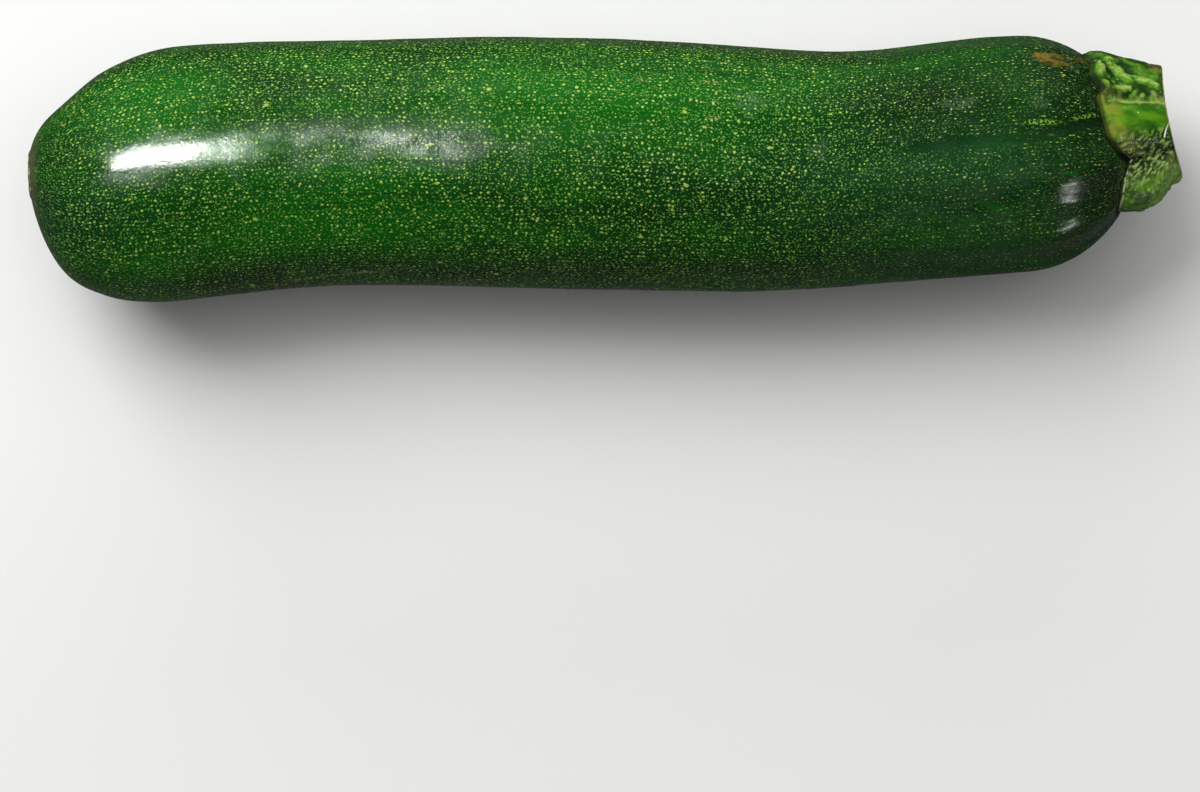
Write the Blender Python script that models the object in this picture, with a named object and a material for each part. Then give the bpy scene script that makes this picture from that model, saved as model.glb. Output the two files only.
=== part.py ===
"""A picked zucchini: the ribbed fruit and its cut, five-ridged stem, lying on its side.

Metres, +Z up. +X runs along the fruit from the blossom end to the stem and +Y lies across it.
The origin is on the surface that the fruit rests on, under the middle of the whole thing.
Angles around the fruit and the stem turn about +X, from +Y towards +Z.
"""

import math

import bmesh
import bpy
import numpy as np

MM = 0.001


def in_mm(*stations):
    """Stations given as (place, value) in millimetres, turned into metres."""
    return [(place * MM, value * MM) for place, value in stations]


# The fruit. A station is a distance from the blossom end, then the value there.
FRUIT_LENGTH = 209.0 * MM
RADIUS = in_mm(
    (0, 24.0), (32, 23.9), (58, 23.1), (96, 23.7), (128, 23.3), (158, 22.0), (183, 22.1), (209, 21.0)
)
SIDEWAYS = in_mm(
    (0, -0.8), (6, -3.5), (14, -2.8), (24, -1.4), (45, 0.6),
    (64, 1.3), (110, 0.9), (152, 0.0), (185, 2.7), (209, 3.0),
)
HEIGHT_TO_WIDTH = 0.98
BLOSSOM_ROUNDING = 29.0 * MM
BLOSSOM_BLUNTNESS = 2.2
STEM_ROUNDING = 21.0 * MM
SCAR_RADIUS = 3.6 * MM
SCAR_DEPTH = 0.7 * MM

# The ribs. One valley runs up to each ridge of the stem, and one between each two of them.
RIB_COUNT = 10
RIB_HEIGHT = in_mm((0, 0.0), (40, 0.12), (120, 0.16), (165, 0.28), (190, 0.5), (203, 0.35), (209, 0.0))

# How the fruit lies: its ends rise a little, and the lowest part is worn flat.
REST_AT = 92.0 * MM
END_RISE = 2.4 * MM
FLAT_DEPTH = 0.35 * MM

# The stem, from a ring buried in the shoulder to the cut.
RIDGE_COUNT = 5
FIRST_RIDGE = math.radians(12)
STEM_START = 198.0 * MM
STEM_CUT = 215.4 * MM
STEM_FOOT_CENTRE = (6.1 * MM, 23.9 * MM)
STEM_CUT_CENTRE = (8.0 * MM, 24.2 * MM)
FOOT_RADIUS = 15.5 * MM
CUT_RADIUS = 11.6 * MM
TAPER_POWER = 2.4
FOOT_VALLEY = 0.27
CUT_VALLEY = 0.19
VALLEY_WIDTH = 0.85
CUT_SLANT_ACROSS = -0.21
CUT_SLANT_UP = -0.09

# Between the two pieces, so that they touch nowhere
SEAT_GAP = 0.3 * MM

# Where the blossom end lies, so that the origin is under the middle
BLOSSOM_END_X = -109.0 * MM

# Mesh density
FRUIT_SEGMENTS, FRUIT_RINGS = 60, 46
STEM_SEGMENTS, STEM_RINGS = 60, 22
BURIED_RINGS, FACE_RINGS = 2, 4

SKIN_COLOUR = (0.018, 0.085, 0.014, 1.0)
SKIN_ROUGHNESS = 0.32
STEM_COLOUR = (0.13, 0.26, 0.035, 1.0)
STEM_ROUGHNESS = 0.45
RIM_ANGLE = math.radians(40)


def clear_scene():
    for thing in list(bpy.data.objects):
        bpy.data.objects.remove(thing)


def new_collection(name):
    collection = bpy.data.collections.new(name)
    bpy.context.scene.collection.children.link(collection)
    return collection


def new_material(name, colour, roughness):
    material = bpy.data.materials.new(name)
    material.use_nodes = True
    shader = material.node_tree.nodes["Principled BSDF"]
    shader.inputs["Base Color"].default_value = colour
    shader.inputs["Roughness"].default_value = roughness
    shader.inputs["Metallic"].default_value = 0.0
    return material


def read_curve(stations, place):
    """The value at a place, on a smooth curve through the stations."""
    places, values = np.array(stations).T
    slopes = np.gradient(values, places)
    i = int(np.clip(np.searchsorted(places, place) - 1, 0, len(places) - 2))
    span = places[i + 1] - places[i]
    t = float(np.clip((place - places[i]) / span, 0, 1))
    start = (1 + 2 * t) * (1 - t) ** 2 * values[i] + t * (1 - t) ** 2 * span * slopes[i]
    end = t * t * (3 - 2 * t) * values[i + 1] - t * t * (1 - t) * span * slopes[i + 1]
    return float(start + end)


def end_rounding(along):
    """1 along the body, falling to 0 at the two ends."""
    if along < BLOSSOM_ROUNDING:
        return math.sqrt(1 - (1 - along / BLOSSOM_ROUNDING) ** BLOSSOM_BLUNTNESS)
    past = (along - (FRUIT_LENGTH - STEM_ROUNDING)) / STEM_ROUNDING
    return math.sqrt(max(0.0, 1 - max(0.0, past) ** 2))


def spine(along):
    """The middle of the fruit at a distance from the blossom end, as (across, up)."""
    rise = END_RISE * ((along - REST_AT) / REST_AT) ** 2
    up = read_curve(RADIUS, along) * HEIGHT_TO_WIDTH + rise - FLAT_DEPTH
    return read_curve(SIDEWAYS, along), up


def rib_wave(angle):
    """-1 in a valley and 1 on a rib."""
    return -math.cos(RIB_COUNT * (angle - FIRST_RIDGE))


def fruit_point(from_blossom_pole, angle, grown):
    """A point of the fruit's skin, grown outwards all round where a larger copy is wanted."""
    along = FRUIT_LENGTH * (1 - math.cos(from_blossom_pole)) / 2
    across, up = spine(along)
    ribs = read_curve(RIB_HEIGHT, along) * rib_wave(angle)
    radius = read_curve(RADIUS, along) * end_rounding(along)
    wide = radius + ribs + grown * math.sin(from_blossom_pole)
    dimple = SCAR_DEPTH * math.exp(-((radius / SCAR_RADIUS) ** 2)) if along < FRUIT_LENGTH / 2 else 0.0
    return (
        BLOSSOM_END_X + along + dimple - grown * math.cos(from_blossom_pole),
        across + wide * math.cos(angle),
        up + wide * HEIGHT_TO_WIDTH * math.sin(angle),
    )


def ridged(radius, valley, angle):
    """The stem's radius at an angle: round ridges with narrow valleys between them."""
    ridge = abs(math.cos(RIDGE_COUNT * (angle - FIRST_RIDGE) / 2))
    return radius * (1 - valley * (1 - ridge**VALLEY_WIDTH))


def stem_point(from_buried_pole, angle):
    """A point of the stem: first its buried end, then its side, then the cut face."""
    ring = from_buried_pole / math.pi * STEM_RINGS
    side_rings = STEM_RINGS - BURIED_RINGS - FACE_RINGS
    out = min(1.0, ring / BURIED_RINGS, (STEM_RINGS - ring) / FACE_RINGS)
    u = min(max((ring - BURIED_RINGS) / side_rings, 0.0), 1.0)
    radius = CUT_RADIUS + (FOOT_RADIUS - CUT_RADIUS) * (1 - u**TAPER_POWER)
    valley = FOOT_VALLEY + (CUT_VALLEY - FOOT_VALLEY) * u
    reach = out * ridged(radius, valley, angle)
    from_middle = (reach * math.cos(angle), reach * math.sin(angle))
    middle = [foot + (cut - foot) * u for foot, cut in zip(STEM_FOOT_CENTRE, STEM_CUT_CENTRE)]
    slant = CUT_SLANT_ACROSS * from_middle[0] + CUT_SLANT_UP * from_middle[1]
    return (
        BLOSSOM_END_X + STEM_START + (STEM_CUT - STEM_START + slant) * u,
        middle[0] + from_middle[0],
        middle[1] + from_middle[1],
    )


def shaped_ball(name, segments, rings, point_at, collection):
    """A ball whose points move to point_at(angle from its first pole, angle around)."""
    mesh = bpy.data.meshes.new(name)
    ball = bmesh.new()
    bmesh.ops.create_uvsphere(ball, u_segments=segments, v_segments=rings, radius=1.0)
    for vertex in ball.verts:
        x, y, z = vertex.co
        vertex.co = point_at(math.acos(max(-1.0, min(1.0, -z))), math.atan2(y, x))
    ball.to_mesh(mesh)
    ball.free()
    mesh.shade_smooth()
    thing = bpy.data.objects.new(name, mesh)
    collection.objects.link(thing)
    return thing


def ground_cutter(collection):
    """A block whose top is the surface that the fruit rests on."""
    mesh = bpy.data.meshes.new("ground_cutter")
    block = bmesh.new()
    bmesh.ops.create_cube(block, size=1.0)
    bmesh.ops.scale(block, vec=(2 * FRUIT_LENGTH, FRUIT_LENGTH, FRUIT_LENGTH), verts=block.verts)
    bmesh.ops.translate(block, vec=(0, 0, -FRUIT_LENGTH / 2), verts=block.verts)
    block.to_mesh(mesh)
    block.free()
    thing = bpy.data.objects.new("ground_cutter", mesh)
    collection.objects.link(thing)
    return thing


def cut_by(thing, cutter):
    cutter.hide_render = True
    cutter.display_type = "WIRE"
    boolean = thing.modifiers.new("cut by " + cutter.name, "BOOLEAN")
    boolean.operation = "DIFFERENCE"
    boolean.solver = "EXACT"
    boolean.object = cutter


def add_fruit(parts, cutters):
    fruit = shaped_ball(
        "fruit", FRUIT_SEGMENTS, FRUIT_RINGS, lambda pole, around: fruit_point(pole, around, 0.0), parts
    )
    fruit.data.materials.append(new_material("zucchini skin", SKIN_COLOUR, SKIN_ROUGHNESS))
    cut_by(fruit, ground_cutter(cutters))


def add_stem(parts, cutters):
    """The stem, seated on the shoulder by a slightly larger copy of the fruit."""
    stem = shaped_ball("stem", STEM_SEGMENTS, STEM_RINGS, stem_point, parts)
    stem.data.set_sharp_from_angle(angle=RIM_ANGLE)
    stem.data.materials.append(new_material("zucchini stem", STEM_COLOUR, STEM_ROUGHNESS))
    seat = shaped_ball(
        "seat_cutter",
        FRUIT_SEGMENTS,
        FRUIT_RINGS,
        lambda pole, around: fruit_point(pole, around, SEAT_GAP),
        cutters,
    )
    cut_by(stem, seat)


def main():
    clear_scene()
    parts = new_collection("zucchini")
    cutters = new_collection("zucchini cutters")
    add_fruit(parts, cutters)
    add_stem(parts, cutters)


main()
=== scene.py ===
"""A picked zucchini: its flecked, waxy skin and its warty, bristly cut stem.

Metres, +Z up. +X runs along the fruit from the blossom end to the stem and +Y lies across it.
Angles turn about +X, from +Y towards +Z, so 90 degrees is the top.
"""

import math

import bpy
import numpy as np
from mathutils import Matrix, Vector


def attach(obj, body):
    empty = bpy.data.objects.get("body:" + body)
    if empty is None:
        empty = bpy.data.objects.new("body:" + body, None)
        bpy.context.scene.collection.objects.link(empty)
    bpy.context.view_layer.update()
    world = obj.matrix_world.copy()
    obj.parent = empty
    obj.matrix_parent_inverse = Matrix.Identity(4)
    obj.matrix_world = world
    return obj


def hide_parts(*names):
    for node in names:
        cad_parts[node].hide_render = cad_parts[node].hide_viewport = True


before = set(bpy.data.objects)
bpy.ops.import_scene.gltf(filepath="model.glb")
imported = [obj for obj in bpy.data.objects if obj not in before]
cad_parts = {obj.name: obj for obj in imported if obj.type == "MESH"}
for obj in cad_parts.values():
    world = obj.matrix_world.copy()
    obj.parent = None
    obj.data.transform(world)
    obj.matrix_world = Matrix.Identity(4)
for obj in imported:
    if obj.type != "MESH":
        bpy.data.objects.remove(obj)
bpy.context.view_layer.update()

MM = 0.001
QUARTER_TURN = math.pi / 2
FULL_TURN = 2 * math.pi


def in_mm(*stations):
    """Stations in metres, from (distance from the blossom end, value there) in millimetres."""
    return [(place * MM, value * MM) for place, value in stations]


def shade(red, green, blue):
    """A colour given as it looks on a screen, 0 to 255, turned into the light that a surface gives back."""
    screen = [level / 255 for level in (red, green, blue)]
    return tuple(((level + 0.055) / 1.055) ** 2.4 for level in screen) + (1.0,)


# The fruit, with the sizes of the solid
FRUIT_LENGTH = 209.0 * MM
RADIUS = in_mm(
    (0, 24.0), (32, 23.9), (58, 23.1), (96, 23.7), (128, 23.3), (158, 22.0), (183, 22.1), (209, 21.0)
)
SIDEWAYS = in_mm(
    (0, -0.8), (6, -3.5), (14, -2.8), (24, -1.4), (45, 0.6),
    (64, 1.3), (110, 0.9), (152, 0.0), (185, 2.7), (209, 3.0),
)
HEIGHT_TO_WIDTH = 0.98
BLOSSOM_ROUNDING = 29.0 * MM
BLOSSOM_BLUNTNESS = 2.2
STEM_ROUNDING = 21.0 * MM
BLOSSOM_END_X = -109.0 * MM
RIB_COUNT = 10
RIB_HEIGHT = in_mm((0, 0.0), (40, 0.12), (120, 0.16), (165, 0.28), (190, 0.5), (203, 0.35), (209, 0.0))
REST_AT = 92.0 * MM
END_RISE = 2.4 * MM
FLAT_DEPTH = 0.35 * MM

# The stem, with the sizes of the solid. Its ridges are counted from the upper one in the photograph.
RIDGE_COUNT = 5
UPPER_RIDGE, MIDDLE_RIDGE, UNDER_RIDGE, BACK_RIDGE = 0, 1, 3, 4
FIRST_RIDGE = math.radians(12)
STEM_START = 198.0 * MM
STEM_CUT = 215.4 * MM
STEM_FOOT_CENTRE = (6.1 * MM, 23.9 * MM)
STEM_CUT_CENTRE = (8.0 * MM, 24.2 * MM)
FOOT_RADIUS = 15.5 * MM
CUT_RADIUS = 11.6 * MM
TAPER_POWER = 2.4
FOOT_VALLEY = 0.27
CUT_VALLEY = 0.19
VALLEY_WIDTH = 0.85
CUT_SLANT_ACROSS = -0.21
CUT_SLANT_UP = -0.09

# The radii that the patterns are wrapped on, and how finely the pieces are meshed
PATTERN_RADIUS = 23.5 * MM
STEM_RADIUS = 14 * MM
FRUIT_RINGS, FRUIT_SEGMENTS = 400, 238
STEM_ROWS, STEM_SEGMENTS = 172, 360
SAME_PLACE = 0.002 * MM

# How the rows of the stem's mesh are shared out: its hidden sole, its side, its rim and its cut face
SOLE_ENDS, SIDE_ENDS, RIM_ENDS = 0.06, 0.70, 0.76

# The photograph's frame, seen from straight above and measured at the height of the fruit's middle
PHOTO_WIDTH = 226.7 * MM
PHOTO_CENTRE = (-1.42 * MM, -42.88 * MM)
PHOTO_LEVEL = 23.5 * MM
CAMERA_DISTANCE = 1.0
SENSOR_WIDTH = 36.0


# Node trees, written as formulas

class Field:
    """A number, vector or colour in a node tree. Arithmetic on it adds nodes to the tree."""

    def __init__(self, tree, socket):
        self.tree = tree
        self.socket = socket

    def other(self, name):
        """Another output of the same node."""
        return Field(self.tree, self.socket.node.outputs[name])

    def part(self, axis):
        return self.tree.add("ShaderNodeSeparateXYZ", [self], output=axis)

    def __add__(self, other):
        return self.tree.arithmetic("ADD", self, other)

    def __radd__(self, other):
        return self.tree.arithmetic("ADD", other, self)

    def __sub__(self, other):
        return self.tree.arithmetic("SUBTRACT", self, other)

    def __rsub__(self, other):
        return self.tree.arithmetic("SUBTRACT", other, self)

    def __mul__(self, other):
        return self.tree.arithmetic("MULTIPLY", self, other)

    def __rmul__(self, other):
        return self.tree.arithmetic("MULTIPLY", other, self)

    def __truediv__(self, other):
        return self.tree.arithmetic("DIVIDE", self, other)

    def __rtruediv__(self, other):
        return self.tree.arithmetic("DIVIDE", other, self)

    def __pow__(self, power):
        return self.tree.math("POWER", self, power)


class Tree:
    """A node tree that is filled by formulas."""

    def __init__(self, node_tree):
        self.node_tree = node_tree

    def plug(self, socket, value):
        """Gives a socket a field to read, or a value of its own."""
        if isinstance(value, Field):
            self.node_tree.links.new(value.socket, socket)
        else:
            socket.default_value = value

    def add(self, kind, inputs=(), output=0, **settings):
        """Adds a node, with its inputs in order or by name, and gives back one of its outputs."""
        node = self.node_tree.nodes.new(kind)
        for name, value in settings.items():
            setattr(node, name, value)
        for key, value in inputs.items() if isinstance(inputs, dict) else enumerate(inputs):
            self.plug(node.inputs[key], value)
        return Field(self, node.outputs[output])

    def math(self, operation, *values):
        return self.add("ShaderNodeMath", values, operation=operation)

    def arithmetic(self, operation, a, b):
        if not (is_vector(a) or is_vector(b)):
            return self.math(operation, a, b)
        if operation == "MULTIPLY" and is_vector(a) != is_vector(b):
            vector, number = (a, b) if is_vector(a) else (b, a)
            return self.add("ShaderNodeVectorMath", {0: vector, 3: number}, operation="SCALE")
        return self.add("ShaderNodeVectorMath", (a, b), operation=operation)

    def vector(self, x, y, z):
        return self.add("ShaderNodeCombineXYZ", (x, y, z))

    def attribute(self, name, is_number=False):
        """An attribute that the geometry carries, read in a material."""
        output = "Fac" if is_number else "Vector"
        return self.add("ShaderNodeAttribute", output=output, attribute_name=name)


def is_vector(value):
    if isinstance(value, Field):
        return value.socket.type in ("VECTOR", "RGBA")
    return isinstance(value, tuple)


def sine(angle):
    return angle.tree.math("SINE", angle)


def cosine(angle):
    return angle.tree.math("COSINE", angle)


def root(value):
    return value.tree.math("SQRT", value)


def size(value):
    return value.tree.math("ABSOLUTE", value)


def floor(value):
    return value.tree.math("FLOOR", value)


def least(a, b):
    return a.tree.math("MINIMUM", a, b)


def most(a, b):
    return a.tree.math("MAXIMUM", a, b)


def ramp(value, low, high):
    """0 at low and 1 at high, on a straight line between them."""
    return value.tree.add("ShaderNodeMapRange", {"Value": value, "From Min": low, "From Max": high})


def fade(value, low, high):
    """0 at low and 1 at high, on a smooth line between them. Low may be the larger."""
    inputs = {"Value": value, "From Min": low, "From Max": high}
    return value.tree.add("ShaderNodeMapRange", inputs, interpolation_type="SMOOTHSTEP")


def hump(value, middle, width):
    """1 at the middle, falling to 0 a width away on both sides."""
    return fade(size(value - middle), width, 0.0)


def facing(angle, degrees, half_width):
    """1 where the angle is the one given in degrees, falling to 0 a half width away, all the way round."""
    nearness = cosine(angle - math.radians(degrees))
    return fade(nearness, math.cos(math.radians(half_width)), 1.0)


def mix(a, b, amount):
    return a + (b - a) * amount


def blend(a, b, amount):
    """One colour turning into another."""
    tree = amount.tree
    return tree.add("ShaderNodeMix", {0: amount, 6: a, 7: b}, output=2, data_type="RGBA")


def drawn_out(at, share):
    """Places that draw a pattern out along the fruit, by taking a share of the real length."""
    return at * (share, 1.0, 1.0)


def noise(at, feature, detail=2.0):
    """Soft noise from 0 to 1, with features of about the size given."""
    return at.tree.add("ShaderNodeTexNoise", {"Vector": at, "Scale": 1 / feature, "Detail": detail})


def wobble(at, feature, amount, detail=2.0):
    """Soft noise with its middle at 0, which spans the amount given."""
    return (noise(at, feature, detail) - 0.5) * amount


def shaken(at, feature, amount):
    """A place moved about by noise, so that what is drawn with it has an uneven edge."""
    colour = noise(at, feature).other("Color")
    return at + (colour - (0.5, 0.5, 0.5)) * (2 * amount)


def cells(at, spacing, feature="F1", smoothness=0.0):
    """How far the nearest middle of a random cell is, in cells. Color is random for each cell."""
    inputs = {"Vector": at, "Scale": 1 / spacing}
    if feature == "SMOOTH_F1":
        inputs["Smoothness"] = smoothness
    return at.tree.add("ShaderNodeTexVoronoi", inputs, feature=feature)


def random_colour(at):
    """Three random numbers for each whole-numbered place."""
    return at.tree.add("ShaderNodeTexWhiteNoise", {"Vector": at}, output="Color", noise_dimensions="3D")


def smooth_curve(stations, place):
    """The smooth curve through the stations: from each station to the next, one cubic rise."""
    places, values = np.array(stations).T
    slopes = np.gradient(values, places)
    total = float(values[0])
    for i, span in enumerate(np.diff(places)):
        rise = values[i + 1] - values[i]
        start, end = slopes[i] * span, slopes[i + 1] * span
        t = ramp(place, places[i], places[i + 1])
        total = (((start + end - 2 * rise) * t + (3 * rise - 2 * start - end)) * t + start) * t + total
    return total


def ridged(radius, valley, angle):
    """The stem's radius at an angle: round ridges with narrow valleys between them."""
    ridge = size(cosine((angle - FIRST_RIDGE) * (RIDGE_COUNT / 2)))
    return radius * (1 - valley * (1 - ridge**VALLEY_WIDTH))


def angle_of(across, up):
    return across.tree.math("ARCTAN2", up, across)


def angle_round(place):
    """The angle of a place in a piece's own coordinates: along it, then round a cylinder."""
    return angle_of(place.part("Y"), place.part("Z"))


def gap_to_stem(at):
    """How far a point of the shoulder lies outside the foot of the stem."""
    across = at.part("Y") - STEM_FOOT_CENTRE[0]
    up = at.part("Z") - STEM_FOOT_CENTRE[1]
    reach = root(across * across + up * up)
    return reach - foot_reach(angle_of(across, up))


def beside_stem(place, at, far, near):
    """1 on the shoulder near the foot of the stem, fading out between two distances from it."""
    return fade(gap_to_stem(at), far, near) * fade(place.part("X"), 180 * MM, 192 * MM)


# Geometry trees, and the pieces made by them

class GeometryTree(Tree):
    """A Geometry Nodes tree with named inputs for its sizes."""

    def __init__(self, name, sizes, objects=()):
        super().__init__(bpy.data.node_groups.new(name, "GeometryNodeTree"))
        interface = self.node_tree.interface
        interface.new_socket("Geometry", in_out="OUTPUT", socket_type="NodeSocketGeometry")
        for size_name in sizes:
            interface.new_socket(size_name, in_out="INPUT", socket_type="NodeSocketFloat")
        for object_name in objects:
            interface.new_socket(object_name, in_out="INPUT", socket_type="NodeSocketObject")
        self.given = self.node_tree.nodes.new("NodeGroupInput")

    def size(self, name):
        return Field(self, self.given.outputs[name])

    def position(self):
        return self.add("GeometryNodeInputPosition")

    def normal(self):
        return self.add("GeometryNodeInputNormal")

    def stored(self, name, kind="FLOAT_VECTOR"):
        return self.add("GeometryNodeInputNamedAttribute", {"Name": name}, data_type=kind)

    def store(self, geometry, name, value, kind="FLOAT_VECTOR", domain="POINT"):
        inputs = {"Geometry": geometry, "Name": name, "Value": value}
        return self.add("GeometryNodeStoreNamedAttribute", inputs, data_type=kind, domain=domain)

    def moved_to(self, geometry, position):
        return self.add("GeometryNodeSetPosition", {"Geometry": geometry, "Position": position})

    def raised(self, geometry, height):
        """The surface moved outwards by a height."""
        inputs = {"Geometry": geometry, "Offset": self.normal() * height}
        return self.add("GeometryNodeSetPosition", inputs)

    def grid(self, rows, segments):
        """A square of vertices to wrap into a tube, with how far along it and at what angle each will be."""
        mesh = self.add("GeometryNodeMeshGrid", (1.0, 1.0, rows, segments + 1))
        uv = mesh.other("UV Map")
        way = self.position().part("X") + 0.5
        angle = (self.position().part("Y") + 0.5) * -FULL_TURN
        return self.store(mesh, "OFBake", uv, "FLOAT2", "CORNER"), way, angle

    def closed(self, geometry):
        """The surface with its seam and its poles joined."""
        return self.add("GeometryNodeMergeByDistance", {"Geometry": geometry, "Distance": SAME_PLACE})

    def finish(self, geometry, material):
        smooth = self.add("GeometryNodeSetShadeSmooth", {"Geometry": geometry})
        real = self.add("GeometryNodeRealizeInstances", {"Geometry": smooth})
        dressed = self.add("GeometryNodeSetMaterial", {"Geometry": real, "Material": material})
        output = self.node_tree.nodes.new("NodeGroupOutput")
        self.plug(output.inputs[0], dressed)


def grow(name, tree, given):
    """Runs a geometry tree with the given inputs and keeps its result as a plain mesh."""
    piece = bpy.data.objects.new(name, bpy.data.meshes.new(name))
    bpy.context.scene.collection.objects.link(piece)
    modifier = piece.modifiers.new(tree.node_tree.name, "NODES")
    modifier.node_group = tree.node_tree
    for socket in tree.node_tree.interface.items_tree:
        if socket.in_out == "INPUT":
            modifier[socket.identifier] = given[socket.name]
    evaluated = piece.evaluated_get(bpy.context.evaluated_depsgraph_get())
    mesh = bpy.data.meshes.new_from_object(evaluated)
    piece.modifiers.remove(modifier)
    piece.data = mesh
    return piece


# The fruit's shape

FRUIT_SIZES = {
    "Length": FRUIT_LENGTH,
    "Blossom rounding": BLOSSOM_ROUNDING,
    "Stem rounding": STEM_ROUNDING,
    "Lump height": 0.3 * MM,
    "Furrow depth": 0.14 * MM,
    "Valley depth": 0.3 * MM,
    "Scar radius": 3.6 * MM,
    "Scar depth": 1.1 * MM,
    "Scar rim": 0.25 * MM,
    "Scar stub": 0.5 * MM,
    "Scar grain": 0.35 * MM,
    "Cork height": 0.12 * MM,
    "Moat depth": 0.35 * MM,
}

# The skin's own marks, each as (distance from the blossom end in mm, angle in degrees,
# half its length in mm, half its width in mm, how much it leans in degrees a mm)
CORK_MARKS = ((191.8, 37.5, 3.0, 1.7, 0.0), (197.8, 31, 3.2, 0.6, -1.0))
SMOOTH_VALLEYS = ((176, 85, 14, 1.4, 0.0), (194.5, 79, 9, 1.6, -1.0))


def place_on(along, angle):
    """The skin's own coordinates: along the fruit, then round a plain cylinder."""
    return angle.tree.vector(along, cosine(angle) * PATTERN_RADIUS, sine(angle) * PATTERN_RADIUS)


def ring_place(tree, way):
    """The distance along the fruit of a ring, with rings as close together at the ends as on the body."""
    blossom_arc, stem_arc = 0.18, 0.14
    blossom_turn = ramp(way, 0.0, blossom_arc) * QUARTER_TURN
    stem_turn = ramp(way, 1.0 - stem_arc, 1.0) * QUARTER_TURN
    blossom, stem = tree.size("Blossom rounding"), tree.size("Stem rounding")
    body = (tree.size("Length") - blossom - stem) * ramp(way, blossom_arc, 1.0 - stem_arc)
    return blossom * (1 - cosine(blossom_turn)) + body + stem * sine(stem_turn)


def ring_radius(tree, along):
    """The fruit's radius: full along the body, rounded off at both ends."""
    from_blossom = 1 - least(along / tree.size("Blossom rounding"), 1.0)
    stem = tree.size("Stem rounding")
    into_stem_end = most((along - tree.size("Length") + stem) / stem, 0.0)
    blossom_end = root(1 - from_blossom**BLOSSOM_BLUNTNESS)
    stem_end = root(most(1 - into_stem_end**2, 0.0))
    return smooth_curve(RADIUS, along) * blossom_end * stem_end


def fruit_surface(tree, along, angle):
    """The solid's own surface."""
    rise = END_RISE * ((along - REST_AT) / REST_AT) ** 2
    up = smooth_curve(RADIUS, along) * HEIGHT_TO_WIDTH + rise - FLAT_DEPTH
    across = smooth_curve(SIDEWAYS, along)
    ribs = smooth_curve(RIB_HEIGHT, along) * (0 - cosine((angle - FIRST_RIDGE) * RIB_COUNT))
    wide = ring_radius(tree, along) + ribs
    return tree.vector(
        along + BLOSSOM_END_X,
        across + wide * cosine(angle),
        up + wide * HEIGHT_TO_WIDTH * sine(angle),
    )


def from_mark(place, spot, radius=PATTERN_RADIUS):
    """How far a place is from the middle of an oval mark on the skin: 1 at the mark's edge."""
    along, degrees, half_length, half_width, lean = spot
    from_middle = place.part("X") - along * MM
    middle = math.radians(degrees) + from_middle * (math.radians(lean) / MM)
    lengthwise = from_middle / (half_length * MM)
    crosswise = (angle_round(place) - middle) * (radius / (half_width * MM))
    return root(lengthwise * lengthwise + crosswise * crosswise)


def mark(place, spot, uneven=0.25):
    """1 inside a mark and 0 outside it, with an uneven edge."""
    half_length, half_width = spot[2:4]
    wave = wobble(place, min(half_width, half_length) * 0.6 * MM, 4 * uneven)
    return fade(from_mark(place, spot) + wave, 1.15, 0.8)


def soft_mark(place, spot):
    """A mark that fades away over its whole size."""
    return fade(from_mark(place, spot), 1.4, 0.0)


def any_mark(draw, place, spots, *settings):
    """Several marks at once."""
    total = draw(place, spots[0], *settings)
    for spot in spots[1:]:
        total = most(total, draw(place, spot, *settings))
    return total


def skin_relief(tree, place, at):
    """How far the skin stands proud of the solid's surface."""
    lumps = wobble(place, 26 * MM, 2, detail=1.0) * tree.size("Lump height")
    finer_lumps = wobble(place, 7 * MM, 0.5, detail=1.0) * tree.size("Lump height")
    furrow_end = fade(place.part("X"), 172 * MM, 200 * MM)
    furrows = wobble(drawn_out(place, 0.08), 1.6 * MM, 2) * tree.size("Furrow depth") * (furrow_end + 0.12)
    valley = any_mark(soft_mark, place, SMOOTH_VALLEYS) * tree.size("Valley depth")
    cork = any_mark(mark, place, CORK_MARKS) * noise(place, 0.9 * MM) * 2 * tree.size("Cork height")
    moat = beside_stem(place, at, 1.6 * MM, 0.0) * tree.size("Moat depth")
    return lumps + finer_lumps + furrows - valley + cork - moat + blossom_scar(tree, place, at)


def blossom_scar(tree, place, at):
    """The shallow crater where the flower fell off, with a torn rim and a stub in the middle."""
    radius = ring_radius(tree, place.part("X"))
    uneven = radius + wobble(at, 2.2 * MM, 1.6 * MM)
    scar = tree.size("Scar radius")
    crater = fade(uneven, scar, scar * 0.55) * tree.size("Scar depth")
    rim = hump(uneven, scar * 1.12, scar * 0.3) * tree.size("Scar rim")
    stub = fade(uneven, scar * 0.35, 0.0) * tree.size("Scar stub")
    corky = wobble(at, 0.8 * MM, 1) * fade(uneven, scar * 1.1, scar * 0.8) * tree.size("Scar grain")
    near = fade(place.part("X"), 6 * MM, 4 * MM)
    return (rim - crater + stub + corky) * near


def fruit_tree(material):
    tree = GeometryTree("zucchini fruit", FRUIT_SIZES)
    square, way, angle = tree.grid(FRUIT_RINGS, FRUIT_SEGMENTS)
    marked = tree.store(square, "place", place_on(ring_place(tree, way), angle))
    place, at = tree.stored("place"), tree.position()
    plain = tree.closed(tree.moved_to(marked, fruit_surface(tree, place.part("X"), angle_round(place))))
    skin = tree.raised(plain, skin_relief(tree, place, at))
    rested = tree.moved_to(skin, tree.vector(at.part("X"), at.part("Y"), most(at.part("Z"), 0.0)))
    tree.finish(rested, material)
    return tree


# The stem's shape

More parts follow.
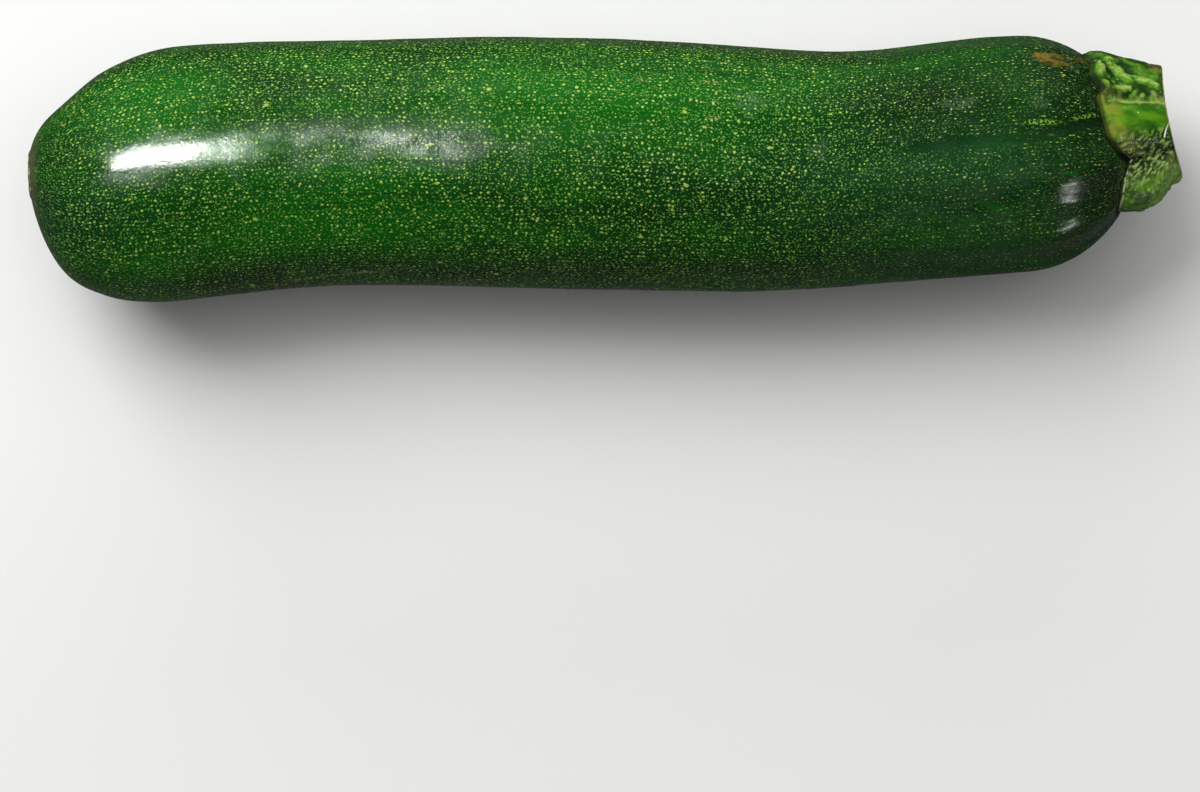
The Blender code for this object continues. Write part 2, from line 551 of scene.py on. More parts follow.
STEM_SIZES = {
    "Rim rounding": 0.4 * MM,
    "Sunk": 0.9 * MM,
    "Toe height": 1.8 * MM,
    "Toe overhang": 0.9 * MM,
    "Lobe spacing": 3.4 * MM,
    "Lobe height": 0.45 * MM,
    "Wart spacing": 1.7 * MM,
    "Wart height": 0.24 * MM,
    "Wrinkle size": 0.62 * MM,
    "Wrinkle height": 0.25 * MM,
    "Line height": 0.10 * MM,
    "Cut curve": 9.0,
    "Cut set back": 0.5 * MM,
    "Cut hollow": 0.5 * MM,
    "Cut grain": 0.12 * MM,
}

# How the stem departs from the solid's formula, and a place well past its cut to look back from
TOE_FLARE = 2.8 * MM
LOWER_TOE_FLARE = 0.5 * MM
LOWER_SWELLING = 1.7 * MM
UPPER_SHOULDER = 0.4 * MM
UPPER_WAIST = 0.7 * MM
UNEVENNESS = 0.10
CORNER_ROUNDING = 6
CLEAR_OF_STEM = 0.2

# Swollen lobes on the upper ridge, each as a mark on the skin is
LOBE_MARKS = (
    (200.9, 41, 1.3, 1.9, 0), (204.8, 38, 2.7, 1.7, 2.8), (209.8, 45, 3.0, 1.5, 1.6),
    (201.6, 55, 1.1, 1.0, 0), (205.2, 54, 2.0, 0.8, 0), (203.0, 26, 1.0, 0.8, 0),
)


def ridge_mark(angle, ridge, half_width):
    """1 on the crest of one of the ridges, fading to 0 at half its width in degrees."""
    nearness = cosine(angle - (FIRST_RIDGE + ridge * FULL_TURN / RIDGE_COUNT))
    return fade(nearness, math.cos(math.radians(half_width)), math.cos(math.radians(half_width * 0.45)))


def stem_ring(up_the_side, angle):
    """How far out a ring of the stem reaches, and the ring's middle, from the solid's formula."""
    radius = CUT_RADIUS + (FOOT_RADIUS - CUT_RADIUS) * (1 - up_the_side**TAPER_POWER)
    valley = FOOT_VALLEY + (CUT_VALLEY - FOOT_VALLEY) * up_the_side
    middle = [foot + (cut - foot) * up_the_side for foot, cut in zip(STEM_FOOT_CENTRE, STEM_CUT_CENTRE)]
    return ridged(radius, valley, wandering(angle, up_the_side)), middle


def foot_reach(angle):
    """How far out the foot of the stem meets the shoulder."""
    reach = ridged(FOOT_RADIUS, FOOT_VALLEY, wandering(angle, 0.0))
    return reach + toe_flare(angle) - STEM_SIZES["Toe overhang"]


def wandering(angle, up_the_side):
    """The angle as the ridges know it: the upper one takes room from the middle one, most at the cut."""
    return angle - hump(angle, math.radians(60), math.radians(38)) * (math.radians(9) * (1 + up_the_side))


def toe_flare(angle):
    """How much wider the foot is than the solid's: most between the upper and the middle ridge."""
    upper_side = fade(angle, math.radians(18), math.radians(48))
    between = upper_side * fade(angle, math.radians(92), math.radians(60))
    return between * TOE_FLARE + facing(angle, 140, 38) * LOWER_TOE_FLARE


def swelling(angle, up_the_side):
    """Between the foot and the cut the lower ridge swells out and the upper one draws in."""
    swollen = up_the_side * (1 - up_the_side) * 4
    waisted = fade(up_the_side, 0.25, 0.6) * fade(up_the_side, 1.0, 0.85)
    shouldered = fade(up_the_side, 0.5, 0.2)
    upper = shouldered * UPPER_SHOULDER - waisted * UPPER_WAIST
    return facing(angle, 160, 34) * swollen * LOWER_SWELLING + facing(angle, 18, 34) * upper


def rounded_end(angle):
    """1 where the lower ridge ends in a round corner at the cut."""
    return facing(angle, 166, 44)


def contact(tree, across, up):
    """Where a line that runs back along the fruit meets its shoulder."""
    shoulder = tree.add("GeometryNodeObjectInfo", {"Object": tree.size("Seat")}, output="Geometry")
    start = tree.vector(CLEAR_OF_STEM, across, up)
    inputs = {"Target Geometry": shoulder, "Source Position": start, "Ray Direction": (-1.0, 0.0, 0.0)}
    hit = tree.add("GeometryNodeRaycast", inputs, output="Hit Position")
    return hit.part("X")


def stem_surface(tree, way, angle):
    """The stem's own surface, and how far each point lies above the shoulder."""
    sole = ramp(way, 0.0, SOLE_ENDS)
    side = ramp(way, SOLE_ENDS, SIDE_ENDS)
    turn = ramp(way, SIDE_ENDS, RIM_ENDS) * QUARTER_TURN
    face = ramp(way, RIM_ENDS, 1.0)
    rounding = tree.size("Rim rounding") * (1 + CORNER_ROUNDING * rounded_end(angle))

    # The foot of the stem, on the shoulder
    reach = foot_reach(angle) * sole * (1 - face)
    middle = STEM_FOOT_CENTRE
    foot = contact(tree, middle[0] + reach * cosine(angle), middle[1] + reach * sine(angle))
    up_at_foot = ramp(foot, BLOSSOM_END_X + STEM_START, BLOSSOM_END_X + STEM_CUT)

    # The side, which swells out from the shoulder in a round toe
    height = side * (BLOSSOM_END_X + STEM_CUT - foot)
    below_full = 1 - least(height / tree.size("Toe height"), 1.0)
    toe = tree.size("Toe overhang") * (1 - root(1 - below_full**2))
    flare = toe_flare(angle) * fade(height, 6 * MM, 1 * MM)
    reach, middle = stem_ring(mix(up_at_foot, 1.0, side), angle)
    uneven = wobble(tree.vector(way * 1.2, cosine(angle), sine(angle)), 0.5, UNEVENNESS)
    reach = reach * (1 + uneven) + flare + swelling(angle, side) - toe - rounding * (1 - cosine(turn))
    reach = reach * sole * (1 - face)
    across, up = reach * cosine(angle), reach * sine(angle)

    cut = BLOSSOM_END_X + STEM_CUT + CUT_SLANT_ACROSS * across + CUT_SLANT_UP * up
    cut = cut + across * across * tree.size("Cut curve") - tree.size("Cut set back")
    x = mix(foot - tree.size("Sunk"), cut - rounding, side) + rounding * sine(turn)
    return tree.vector(x, middle[0] + across, middle[1] + up), x - foot


def stem_tree(material):
    tree = GeometryTree("zucchini stem", STEM_SIZES, ["Seat"])
    square, way, angle = tree.grid(STEM_ROWS, STEM_SEGMENTS)
    marked = tree.store(square, "way", way, "FLOAT")
    marked = tree.store(marked, "turn", tree.vector(cosine(angle), sine(angle), 0.0))
    way, turn = tree.stored("way", "FLOAT"), tree.stored("turn")
    surface, height = stem_surface(tree, way, angle_of(turn.part("X"), turn.part("Y")))
    marked = tree.store(marked, "height", height, "FLOAT")
    plain = tree.closed(tree.moved_to(marked, surface))
    tree.finish(stem_details(tree, plain), material)
    return tree


def wrinkled_side(angle):
    """1 where the stem is wrinkled, from the middle ridge down to the lower one."""
    return fade(size(angle - math.radians(116)), math.radians(28), math.radians(14))


def smooth_side(angle):
    """1 on the smooth crest of the middle ridge."""
    return fade(size(angle - math.radians(80)), math.radians(18), math.radians(8))


def dome(place, spot):
    """A round swelling on the stem."""
    return fade(from_mark(place, spot, STEM_RADIUS) + wobble(place, 1.0 * MM, 1.0), 1.2, 0.5)


def slanting(at, stretch):
    """Places drawn out along a slant, for strokes that run up to the cut."""
    inputs = {"Vector": at, "Angle": math.radians(-38)}
    turned = at.tree.add("ShaderNodeVectorRotate", inputs, rotation_type="Z_AXIS")
    return turned * (1 / stretch, 1.0, 1.0)


def lobes(tree, at, angle):
    """The swollen lobes seen on the upper ridge, and others like them on the ridges below."""
    turn = tree.stored("turn")
    along = at.part("X") - BLOSSOM_END_X
    place = tree.vector(along, turn.part("X") * STEM_RADIUS, turn.part("Y") * STEM_RADIUS)
    swirled = drawn_out(shaken(at, 2.6 * MM, 0.9 * MM), 0.62)
    below = most(ridge_mark(angle, UNDER_RIDGE, 50), ridge_mark(angle, BACK_RIDGE, 40))
    room = most(below, ridge_mark(angle, UPPER_RIDGE, 52) * 0.35)
    others = fade(cells(swirled, tree.size("Lobe spacing"), "SMOOTH_F1", 0.12), 0.60, 0.18) * room
    return most(any_mark(dome, place, LOBE_MARKS), others)


def warts(tree, at, angle):
    """Small warts, with few on the upper ridge and none on the smooth side of the middle one."""
    distance = cells(shaken(at, 1.6 * MM, 0.4 * MM), tree.size("Wart spacing"), "SMOOTH_F1", 0.12)
    few = (1 - ridge_mark(angle, UPPER_RIDGE, 52) * 0.7) * (1 - wrinkled_side(angle) * 0.7)
    return fade(distance, 0.5, 0.14) * few * (1 - smooth_side(angle))


def wrinkles(tree, at, angle):
    """Slanting wrinkles below the middle ridge."""
    strokes = noise(slanting(shaken(at, 1.5 * MM, 0.5 * MM), 2.0), tree.size("Wrinkle size"), 1.0)
    return fade(strokes, 0.49, 0.58) * wrinkled_side(angle)


def stem_details(tree, geometry):
    """The stem with its lobes, warts, wrinkles and fine lines, and the hollow of its cut face."""
    way, turn, at = tree.stored("way", "FLOAT"), tree.stored("turn"), tree.position()
    angle = angle_of(turn.part("X"), turn.part("Y"))
    above_crease = fade(tree.stored("height", "FLOAT"), 0.2 * MM, 1.2 * MM)
    on_side = fade(way, SIDE_ENDS + 0.01, SIDE_ENDS - 0.04) * above_crease
    lines = wobble(drawn_out(at, 0.15), 0.8 * MM, 2) * on_side
    face_relief = wobble(at, 0.7 * MM, 1, detail=3.0) * tree.size("Cut grain")
    face_relief = face_relief - ramp(way, RIM_ENDS, 1.0) * tree.size("Cut hollow")
    relief = lines * tree.size("Line height") + fade(way, RIM_ENDS, RIM_ENDS + 0.05) * face_relief
    for name, detail in (("Lobe", lobes), ("Wart", warts), ("Wrinkle", wrinkles)):
        geometry = tree.store(geometry, name.lower(), detail(tree, at, angle) * on_side, "FLOAT")
        relief = relief + tree.stored(name.lower(), "FLOAT") * tree.size(name + " height")
    return tree.raised(geometry, relief)


# The skin

DARK_GREEN = shade(3, 42, 6)
LEAF_GREEN = shade(6, 74, 4)
FRESH_GREEN = shade(4, 92, 0)
BLUE_GREEN = shade(5, 48, 20)
DEEP_GREEN = shade(5, 28, 4)
FLECK = shade(160, 186, 82)
FINE_FLECK = shade(94, 142, 54)
LIME = shade(140, 190, 60)
CORK = shade(106, 92, 24)
DARK_CORK = shade(58, 50, 16)
SCAR_TAN = shade(176, 154, 108)
# Pale greyish wax bloom for the hazy spots, and the colour of the painted sheen
WAX_AND_SHEEN = shade(120, 148, 112)
# Painted shade for the crease where the stem meets the shoulder
PAINTED_CREASE_SHADE = shade(6, 12, 6)
DULL_END = shade(84, 86, 52)
SCAR_PALE = shade(200, 174, 134)
SCAR_DARK = shade(118, 82, 56)

FRESH_MARKS = (
    (27, 57, 16, 11, 0), (112, 58, 46, 10, 0), (55, 118, 30, 12, 0), (22, 137, 12, 9, 0),
    (40, 84, 14, 5, 0),
)
BLUE_MARKS = ((10, 112, 14, 14, 0), (168, 96, 38, 20, 0))
# Deep green towards the stem, partly painted shade round its foot and under its toes
DEEP_GREEN_AND_SHADE_MARKS = ((198, 55, 17, 24, 0), (170, 62, 24, 10, 0), (202, 120, 13, 22, 0))
LIME_MARKS = (
    (189.5, 77, 3.4, 0.5, 0), (197.5, 72, 2.6, 0.5, -1), (124.8, 23.5, 1.5, 0.3, 0),
    (110, 23.2, 1.3, 0.3, 0),
)
SCUFF_MARKS = ((180, 120, 6.5, 3.0, 0), (195, 104, 5.5, 2.6, 0))
SCAR_MARKS = (
    (58, 158, 13, 0.5, -0.48), (115.4, 50, 1.3, 0.45, 0), (127.6, 49, 2.2, 0.3, 0), (129, 69, 1.2, 0.35, 0),
)
HAZE_MARKS = (
    (135, 60, 2.6, 2.8, 0), (148, 83, 2.0, 1.8, 0), (174, 65, 3.2, 1.4, 0), (189, 67, 2.0, 1.2, 0),
    (195.5, 39, 1.6, 1.2, 0),
)
# Where a faint sheen is painted on, each as a mark
PAINTED_SHEEN_MARKS = ((36, 72, 34, 8, 0), (70, 60, 30, 8, 0), (178, 116, 34, 18, 0))


def row_flecks(place, rows, cell_length, largest, kept, seed):
    """Pale flecks in lengthwise rows, one to a cell at most, with a random number for each.

    Towards the stem they are smaller and drawn out into dashes.
    """
    tree = place.tree
    along = place.part("X")
    row = (angle_round(place) + wobble(drawn_out(place, 0.4), 5 * MM, 0.10)) * (rows / FULL_TURN)
    row_number = floor(row)
    shift = random_colour(tree.vector(row_number, seed, 3.0)).part("X")
    cell = along / cell_length + shift * 7
    cell_number = floor(cell)
    chance = random_colour(tree.vector(cell_number, row_number, seed))
    row_width = FULL_TURN * PATTERN_RADIUS / rows
    dash = 1.3 + (0.6 + 1.6 * chance.part("X")) * fade(along, 160 * MM, 192 * MM)
    lengthwise = (cell - cell_number - 0.5 - (chance.part("X") - 0.5) * 0.4) * cell_length / dash
    crosswise = (row - row_number - 0.5 - (chance.part("Y") - 0.5) * 0.3) * row_width
    ragged = wobble(place, 0.3 * MM, 1.4)
    distance = root(lengthwise * lengthwise + crosswise * crosswise) * (1 + ragged)
    pick = chance.part("Z")
    thinner = 1 - 0.45 * fade(along, 135 * MM, 185 * MM)
    radius = (0.4 + 0.6 * ramp(pick, 1 - kept, 1.0) ** 2.4) * thinner * largest
    return fade(distance / radius, 1.15, 0.45) * ramp(pick, 1 - kept, 1 - kept + 0.01), pick


def dots(at, spacing, largest):
    """Random dots of mixed sizes, from cells that the surface cuts through."""
    distance = cells(at, spacing)
    chance = distance.other("Color").part("X")
    return fade(distance * spacing / (largest * (0.45 + chance * 0.55)), 1.0, 0.4)


def skin_colour(place, at):
    """Several greens in soft lengthwise patches, a faint painted sheen, and the flecks over them."""
    colour = blend(DARK_GREEN, LEAF_GREEN, fade(noise(drawn_out(place, 0.3), 8 * MM, 3.0), 0.25, 0.75))
    colour = blend(colour, FRESH_GREEN, any_mark(soft_mark, place, FRESH_MARKS) * 0.75)
    colour = blend(colour, BLUE_GREEN, any_mark(soft_mark, place, BLUE_MARKS) * 0.85)
    # Deep green towards the stem, which round its foot is partly painted shade
    colour = blend(colour, DEEP_GREEN, any_mark(soft_mark, place, DEEP_GREEN_AND_SHADE_MARKS) * 0.9)
    # A faint painted sheen, pale and greyish, in broad mottled patches
    painted_sheen = any_mark(soft_mark, place, PAINTED_SHEEN_MARKS) * fade(noise(place, 4 * MM, 3.0), 0.3, 0.7)
    colour = blend(colour, WAX_AND_SHEEN, painted_sheen * 0.07)
    streaks = noise(drawn_out(place, 0.05), 1.1 * MM)
    colour = blend(colour, DARK_GREEN, fade(streaks, 0.5, 0.72) * 0.5)
    return add_flecks(place, at, colour)


def add_flecks(place, at, colour):
    """Fine speckle, rows of flecks and a few large ones. The smooth valleys by the stem are almost bare."""
    along = place.part("X")
    near_pole = fade(along, 9 * MM, 4 * MM)
    near_stem = fade(along, 140 * MM, 180 * MM)
    room = 1 - any_mark(mark, place, SMOOTH_VALLEYS, 0.15) * 0.85
    crowding = 0.55 + 0.9 * noise(drawn_out(place, 0.5), 6 * MM)
    speckle = dots(drawn_out(place, 0.75), 0.40 * MM, 0.22 * MM)
    colour = blend(colour, FINE_FLECK, speckle * room * crowding * (1 - 0.65 * near_stem))
    in_rows, pick = row_flecks(place, rows=168, cell_length=1.0 * MM, largest=0.23 * MM, kept=0.8, seed=5.0)
    flecks = mix(in_rows, dots(at, 1.0 * MM, 0.22 * MM), near_pole)
    pale = blend(FINE_FLECK, FLECK, fade(pick, 0.45, 0.95))
    colour = blend(colour, pale, flecks * room * least(crowding + 0.2, 1.0) * (1 - 0.2 * near_stem))
    large, pick = row_flecks(place, rows=41, cell_length=5.2 * MM, largest=0.42 * MM, kept=0.35, seed=9.0)
    return blend(colour, FLECK, large * room * 0.85)


def add_marks(place, at, colour):
    """What the skin has met on its way: cork, scars, scuffs and hazy spots, and painted shade in the crease
    under the stem.
    """
    grain = noise(place, 0.45 * MM, 3.0)
    colour = blend(colour, LIME, any_mark(mark, place, LIME_MARKS, 0.8) * fade(grain, 0.46, 0.6) * 0.65)
    scuffed = fade(noise(drawn_out(place, 0.4), 1.2 * MM), 0.5, 0.62)
    colour = blend(colour, FRESH_GREEN, any_mark(soft_mark, place, SCUFF_MARKS) * scuffed * 0.6)
    colour = blend(colour, WAX_AND_SHEEN, any_mark(mark, place, HAZE_MARKS, 0.6) * fade(grain, 0.3, 0.8) * 0.25)
    colour = blend(colour, SCAR_TAN, any_mark(mark, place, SCAR_MARKS, 0.9) * fade(grain, 0.46, 0.62) * 0.5)
    cork = blend(DARK_CORK, CORK, fade(noise(drawn_out(place, 0.4), 0.8 * MM, 3.0), 0.4, 0.58))
    corky = any_mark(mark, place, CORK_MARKS, 0.6)
    colour = blend(colour, cork, corky * fade(grain, 0.28, 0.42) * 0.9)
    # Painted shade, almost black, on the skin where it runs in under the stem
    return blend(colour, PAINTED_CREASE_SHADE, crease(place, at) * 0.85)


def crease(place, at):
    """1 on the skin where it runs in under the stem."""
    return beside_stem(place, at, 1.1 * MM, 0.1 * MM)


def add_blossom_end(place, at, colour):
    """The skin turns dull and brown towards the scar, and the scar is pale cork."""
    uneven = place.part("X") + wobble(at, 2.2 * MM, 1.5 * MM)
    colour = blend(colour, DULL_END, fade(uneven, 3.2 * MM, 0.4 * MM) * 0.8)
    cork = blend(SCAR_PALE, SCAR_DARK, fade(noise(at, 0.9 * MM, 3.0), 0.4, 0.65))
    return blend(colour, cork, fade(uneven, 0.55 * MM, 0.25 * MM))


def new_material(name):
    """A material and its shader."""
    material = bpy.data.materials.new(name)
    material.use_nodes = True
    return material, material.node_tree.nodes["Principled BSDF"]


def plain_material(name, colour, roughness):
    material, shader = new_material(name)
    shader.inputs["Base Color"].default_value = colour
    shader.inputs["Roughness"].default_value = roughness
    return material


def add_bump(tree, shader, height, distance, strength):
    inputs = {"Strength": strength, "Distance": distance, "Height": height}
    tree.plug(shader.inputs["Normal"], tree.add("ShaderNodeBump", inputs))


def skin_material():
    material, shader = new_material("zucchini skin")
    tree = Tree(material.node_tree)
    place = tree.attribute("place")
    at = tree.add("ShaderNodeTexCoord", output="Object")
    colour = add_blossom_end(place, at, add_marks(place, at, skin_colour(place, at)))
    tree.plug(shader.inputs["Base Color"], colour)
    wear = fade(noise(drawn_out(place, 0.5), 3.5 * MM, 3.0), 0.35, 0.7)
    tree.plug(shader.inputs["Roughness"], 0.15 + 0.11 * wear + 0.6 * crease(place, at))
    add_bump(tree, shader, noise(at, 0.8 * MM, 1.0), distance=0.035 * MM, strength=0.5)
    return material


# The stem's finish

STEM_GREEN = shade(36, 90, 4)
STEM_LIGHT = shade(78, 130, 14)
STEM_DULL = shade(142, 180, 80)
STEM_DARK = shade(14, 42, 12)
STEM_BROWN = shade(144, 148, 50)
RIM_BROWN = shade(104, 66, 30)
LOBE_GREEN = shade(88, 138, 28)
LOBE_PALE = shade(150, 178, 86)
WRINKLE_PALE = shade(142, 166, 92)
CUT_CREAM = shade(232, 222, 188)
CUT_TAN = shade(188, 148, 94)
CUT_SHADE = shade(206, 190, 140)
CUT_RUST = shade(150, 106, 62)
CUT_GREEN = shade(176, 190, 116)
VEIN_GREEN = shade(140, 158, 84)
VEIN_COUNT = 10


def stem_ground(at, angle, height, patches):
    """Painted shade in the valleys and painted light on the ridges, dark and worn below, brown on the middle
    toe.
    """
    ridge = size(cosine((wandering(angle, 0.6) - FIRST_RIDGE) * (RIDGE_COUNT / 2)))
    green = blend(STEM_GREEN, STEM_LIGHT, fade(patches, 0.35, 0.68))
    # Painted shade darkens the valleys and painted light brightens the ridges
    colour = blend(STEM_DARK, green, fade(ridge, 0.12, 0.75))
    lobed = ridge_mark(angle, UPPER_RIDGE, 52) * (1 - smooth_side(angle))
    colour = blend(colour, STEM_DARK, lobed * fade(patches, 0.62, 0.42) * 0.85)
    colour = blend(colour, STEM_DARK, wrinkled_side(angle) * 0.85)
    near_foot = fade(height, 8 * MM, 5 * MM)
    colour = blend(colour, STEM_DARK, facing(angle, 146, 30) * near_foot * fade(patches, 0.66, 0.4) * 0.7)
    worn = facing(angle, 164, 46) * (0.35 + 0.65 * fade(noise(at, 1.5 * MM, 3.0), 0.4, 0.62))
    colour = blend(colour, STEM_DULL, worn * (1 - 0.75 * near_foot) * 0.9)
    toe = ridge_mark(angle, MIDDLE_RIDGE, 34) * fade(height, 5.0 * MM, 1.5 * MM)
    return blend(colour, STEM_BROWN, toe * fade(noise(at, 2 * MM, 3.0), 0.3, 0.6) * 0.65)


def add_raised_colours(tree, at, angle, height, colour):
    """Pale on the lobes, the warts, the wrinkles and the line between the upper ridges."""
    wavy = angle + wobble(at, 2.2 * MM, 0.35)
    line = hump(wavy, math.radians(64), math.radians(7)) * fade(height, 1.0 * MM, 3 * MM)
    colour = blend(colour, LOBE_PALE, line * 0.75)
    raised = most(tree.attribute("lobe", True), tree.attribute("wart", True))
    mottled = raised + wobble(drawn_out(at, 0.5), 0.7 * MM, 1.6, detail=3.0)
    colour = blend(colour, LOBE_GREEN, fade(raised, 0.05, 0.5) * 0.8)
    colour = blend(colour, LOBE_PALE, fade(mottled, 0.6, 1.15) * fade(raised, 0.1, 0.5) * 0.8)
    cracks = hump(noise(drawn_out(at, 0.6), 1.4 * MM), 0.5, 0.035) * ridge_mark(angle, UPPER_RIDGE, 52)
    colour = blend(colour, STEM_DARK, cracks * 0.6)
    return blend(colour, WRINKLE_PALE, tree.attribute("wrinkle", True) * 0.9)


def add_edge_colours(at, angle, way, height, patches, colour):
    """Brown at the cut, pale dots, painted shade in the crease at the foot, and the torn edge there."""
    near_cut = fade(way + wobble(at, 1.3 * MM, 0.12), SIDE_ENDS - 0.12, SIDE_ENDS - 0.03)
    colour = blend(colour, RIM_BROWN, near_cut * hump(angle, math.radians(5), math.radians(30)) * 0.8)
    colour = blend(colour, CUT_CREAM, dots(at, 1.1 * MM, 0.24 * MM) * fade(patches, 0.45, 0.6) * 0.6)
    # Painted shade in the crease at the stem's foot
    colour = blend(colour, PAINTED_CREASE_SHADE, fade(height, 0.6 * MM, 0.0) * 0.75)
    torn_edge = hump(height, 0.5 * MM, 0.25 * MM) * fade(noise(at, 1.6 * MM), 0.4, 0.5)
    return blend(colour, CUT_CREAM, torn_edge * facing(angle, 138, 30) * 0.6)


def cut_face_colour(at, angle, way):
    """Creamy flesh with a ring of vein ends, greener outwards, and an uneven tan skin at the rim."""
    from_middle = ramp(way, 1.0, RIM_ENDS)
    pale = blend(CUT_CREAM, CUT_SHADE, fade(noise(at, 1.6 * MM, 3.0), 0.4, 0.7) * 0.6)
    colour = blend(pale, CUT_GREEN, fade(from_middle, 0.6, 0.9) * 0.8)
    between = fade(cosine((angle - FIRST_RIDGE) * VEIN_COUNT), 0.3, 0.9)
    veins = between * hump(from_middle, 0.62, 0.13)
    colour = blend(colour, VEIN_GREEN, veins * 0.6)
    rim = from_middle + wobble(at, 1.5 * MM, 0.3, detail=3.0)
    skin = blend(CUT_TAN, CUT_RUST, fade(noise(at, 1.1 * MM, 3.0), 0.42, 0.62))
    return blend(colour, skin, fade(rim, 0.88, 0.96))


def stem_material():
    material, shader = new_material("zucchini stem")
    tree = Tree(material.node_tree)
    at = tree.add("ShaderNodeTexCoord", output="Object")
    way, height, turn = tree.attribute("way", True), tree.attribute("height", True), tree.attribute("turn")
    angle = angle_of(turn.part("X"), turn.part("Y"))
    patches = noise(drawn_out(at, 0.5), 2.4 * MM, 3.0)
    side = stem_ground(at, angle, height, patches)
    side = add_raised_colours(tree, at, angle, height, side)
    side = add_edge_colours(at, angle, way, height, patches, side)

    # On the rounded end of the lower ridge the green skin runs on to the edge of the cut
    green_rim = rounded_end(angle) * (RIM_ENDS - SIDE_ENDS - 0.03)
    uneven_way = way + wobble(at, 1.0 * MM, 0.03) - green_rim
    is_face = fade(uneven_way, SIDE_ENDS + 0.02, SIDE_ENDS + 0.035)
    tree.plug(shader.inputs["Base Color"], blend(side, cut_face_colour(at, angle, way), is_face))
    at_foot = fade(height, 1.3 * MM, 0.5 * MM)
    tree.plug(shader.inputs["Roughness"], 0.27 + 0.35 * is_face + 0.7 * at_foot)
    add_bump(tree, shader, noise(at, 0.35 * MM), distance=0.06 * MM, strength=0.4)
    return material


# The stem's bristles

HAIR_SIZES = {
    "Length": 0.8 * MM,
    "Thickness": 0.035 * MM,
    "Bend": 0.3,
    "Hairs in a square metre": 32000.0,
    "Long hair length": 3.4 * MM,
    "Long hair thickness": 0.2 * MM,
}
HAIR_COLOUR = (0.70, 0.72, 0.56, 1.0)
HAIR_SEED = 7
HAIR_LEAN = 0.8
HAIR_TURN = 3.1
LONG_HAIR_FOOT = (103.9 * MM, 5.3 * MM, 36.1 * MM)
LONG_HAIR_TURN = (math.radians(-80), 0.0, math.radians(-2))


def hair_shape(tree, length, thickness, sides):
    """One bristle: a thin cone that bends over."""
    inputs = {
        "Vertices": sides, "Side Segments": sides, "Radius Top": 0.0,
        "Radius Bottom": thickness, "Depth": length,
    }
    cone = tree.add("GeometryNodeMeshCone", inputs)
    at = tree.position()
    up = at.part("Z")
    bent_over = up * up * (tree.size("Bend") / length)
    return tree.moved_to(cone, tree.vector(at.part("X") + bent_over, at.part("Y"), up))


def short_hairs(tree):
    """Bristles all over the side of the stem, each leaning its own way."""
    stem = tree.add("GeometryNodeObjectInfo", {"Object": tree.size("Stem")}, output="Geometry")
    on_side = fade(tree.stored("way", "FLOAT"), SIDE_ENDS - 0.02, SIDE_ENDS - 0.04)
    clear = fade(tree.stored("height", "FLOAT"), 1.2 * MM, 1.6 * MM)
    density = tree.size("Hairs in a square metre") * on_side * clear
    inputs = {"Mesh": stem, "Density": density, "Seed": HAIR_SEED}
    points = tree.add("GeometryNodeDistributePointsOnFaces", inputs)
    leans = {0: (-HAIR_LEAN, -HAIR_LEAN, -HAIR_TURN), 1: (HAIR_LEAN, HAIR_LEAN, HAIR_TURN)}
    leaning = tree.add("FunctionNodeRandomValue", leans, data_type="FLOAT_VECTOR")
    inputs = {"Rotation": points.other("Rotation"), "Rotate By": leaning}
    turned = tree.add("FunctionNodeRotateRotation", inputs, rotation_space="LOCAL")
    size_of_each = tree.add("FunctionNodeRandomValue", {2: 0.5, 3: 1.25}, output=1, data_type="FLOAT")
    scale = tree.vector(size_of_each, size_of_each, size_of_each)
    hair = hair_shape(tree, tree.size("Length"), tree.size("Thickness"), sides=4)
    inputs = {"Points": points, "Instance": hair, "Rotation": turned, "Scale": scale}
    return tree.add("GeometryNodeInstanceOnPoints", inputs)


def long_hair(tree):
    """The one long bristle near the cut."""
    spot = tree.add("GeometryNodePoints", {"Count": 1, "Position": LONG_HAIR_FOOT})
    hair = hair_shape(tree, tree.size("Long hair length"), tree.size("Long hair thickness"), sides=8)
    inputs = {"Points": spot, "Instance": hair, "Rotation": LONG_HAIR_TURN}
    return tree.add("GeometryNodeInstanceOnPoints", inputs)


def hair_tree(material):
    tree = GeometryTree("zucchini bristles", HAIR_SIZES, ["Stem"])
    both = tree.add("GeometryNodeJoinGeometry", [short_hairs(tree)])
    tree.node_tree.links.new(long_hair(tree).socket, both.socket.node.inputs[0])
    tree.finish(both, material)
    return tree


# The set

FLOOR_COLOUR = (0.72, 0.72, 0.71, 1.0)
WORLD_COLOUR = (1.0, 1.0, 1.0, 1.0)
WORLD_STRENGTH = 0.06

# Soft boxes: what each is called and gives, its place and aim, and its width, depth and watts
LIGHTS = (
    ("soft_box", "light", (-0.9, 1.0, 1.6), (0.0, 0.0, 0.0), 1.3, 1.3, 44),
    ("fill", "light", (0.3, 0.5, 2.15), (0.0, 0.0, 0.0), 2.5, 2.5, 26),
    ("back_light", "light", (-0.2, 1.3, 0.45), (0.0, 0.0, 0.0), 1.5, 0.5, 9),
    ("back_glow", "shine", (-0.3, 0.6, 0.1), (-0.3, 0.0, 0.0), 1.4, 0.7, 0.4),
    ("left_shine", "shine", (-0.133, 0.045, 0.2), (-0.133, 0.0, 0.05), 0.14, 0.023, 0.7),
    ("faint_shine", "shine", (-0.053, 0.075, 0.2), (-0.053, 0.0, 0.05), 0.036, 0.006, 0.0004),
    ("low_side_light", "shine", (1.24, -1.34, 0.49), (0.08, 0.0, 0.02), 0.3, 0.05, 2.4),
)


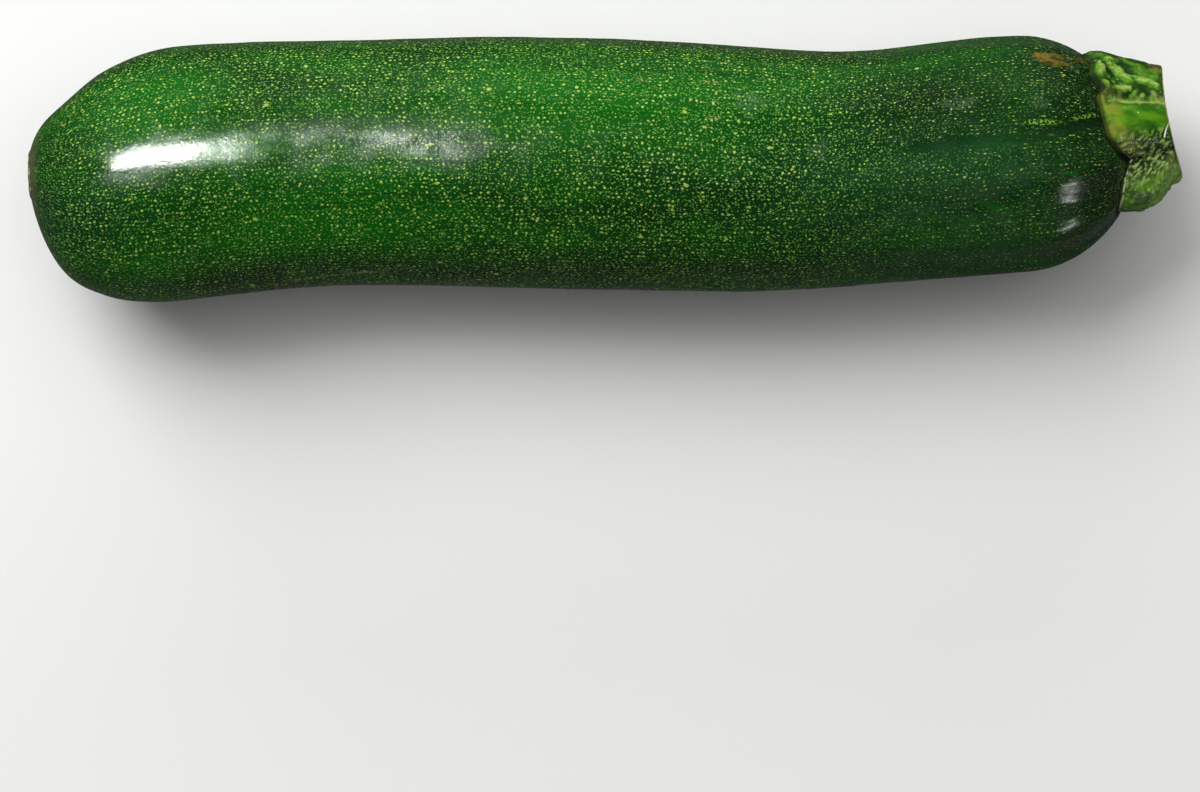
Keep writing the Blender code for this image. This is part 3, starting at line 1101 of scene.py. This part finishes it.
def add_floor():
    bpy.ops.mesh.primitive_plane_add(size=4.0)
    ground = bpy.context.object
    ground.name = "floor"
    ground.data.materials.append(plain_material("pale floor", FLOOR_COLOUR, roughness=0.7))
    ground.visible_glossy = False


def add_area_light(name, gives, place, aim, width, depth, watts):
    """A soft box that looks from its place to its aim, with its width level."""
    light = bpy.data.lights.new(name, "AREA")
    light.shape = "RECTANGLE"
    light.size = width
    light.size_y = depth
    light.energy = watts
    lamp = bpy.data.objects.new(name, light)
    bpy.context.scene.collection.objects.link(lamp)
    lamp.location = place
    lamp.rotation_euler = (Vector(aim) - lamp.location).to_track_quat("-Z", "Y").to_euler()
    lamp.visible_glossy = gives == "shine"
    lamp.visible_diffuse = gives == "light"


def add_lights():
    """Three large soft boxes give the light, and four small ones the shine."""
    for light in LIGHTS:
        add_area_light(*light)
    world = bpy.data.worlds.new("soft_studio")
    world.use_nodes = True
    background = world.node_tree.nodes["Background"]
    background.inputs["Color"].default_value = WORLD_COLOUR
    background.inputs["Strength"].default_value = WORLD_STRENGTH
    bpy.context.scene.world = world
    bpy.context.scene.view_settings.view_transform = "Standard"


def add_camera():
    camera = bpy.data.cameras.new("camera")
    camera.sensor_width = SENSOR_WIDTH
    camera.lens = SENSOR_WIDTH * CAMERA_DISTANCE / PHOTO_WIDTH
    viewer = bpy.data.objects.new("camera", camera)
    viewer.location = (*PHOTO_CENTRE, PHOTO_LEVEL + CAMERA_DISTANCE)
    bpy.context.scene.collection.objects.link(viewer)
    bpy.context.scene.camera = viewer


def add_piece(piece, node):
    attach(piece, "root")
    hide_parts(node)


def main():
    add_camera()
    add_lights()
    add_floor()
    fruit = grow("fruit_skin", fruit_tree(skin_material()), FRUIT_SIZES)
    stem = grow("stem_flesh", stem_tree(stem_material()), {**STEM_SIZES, "Seat": fruit})
    add_piece(fruit, "fruit")
    add_piece(stem, "stem")
    hair = plain_material("zucchini bristle", HAIR_COLOUR, roughness=0.35)
    hairs = grow("stem_bristles", hair_tree(hair), {**HAIR_SIZES, "Stem": stem})
    add_piece(hairs, "stem")


main()
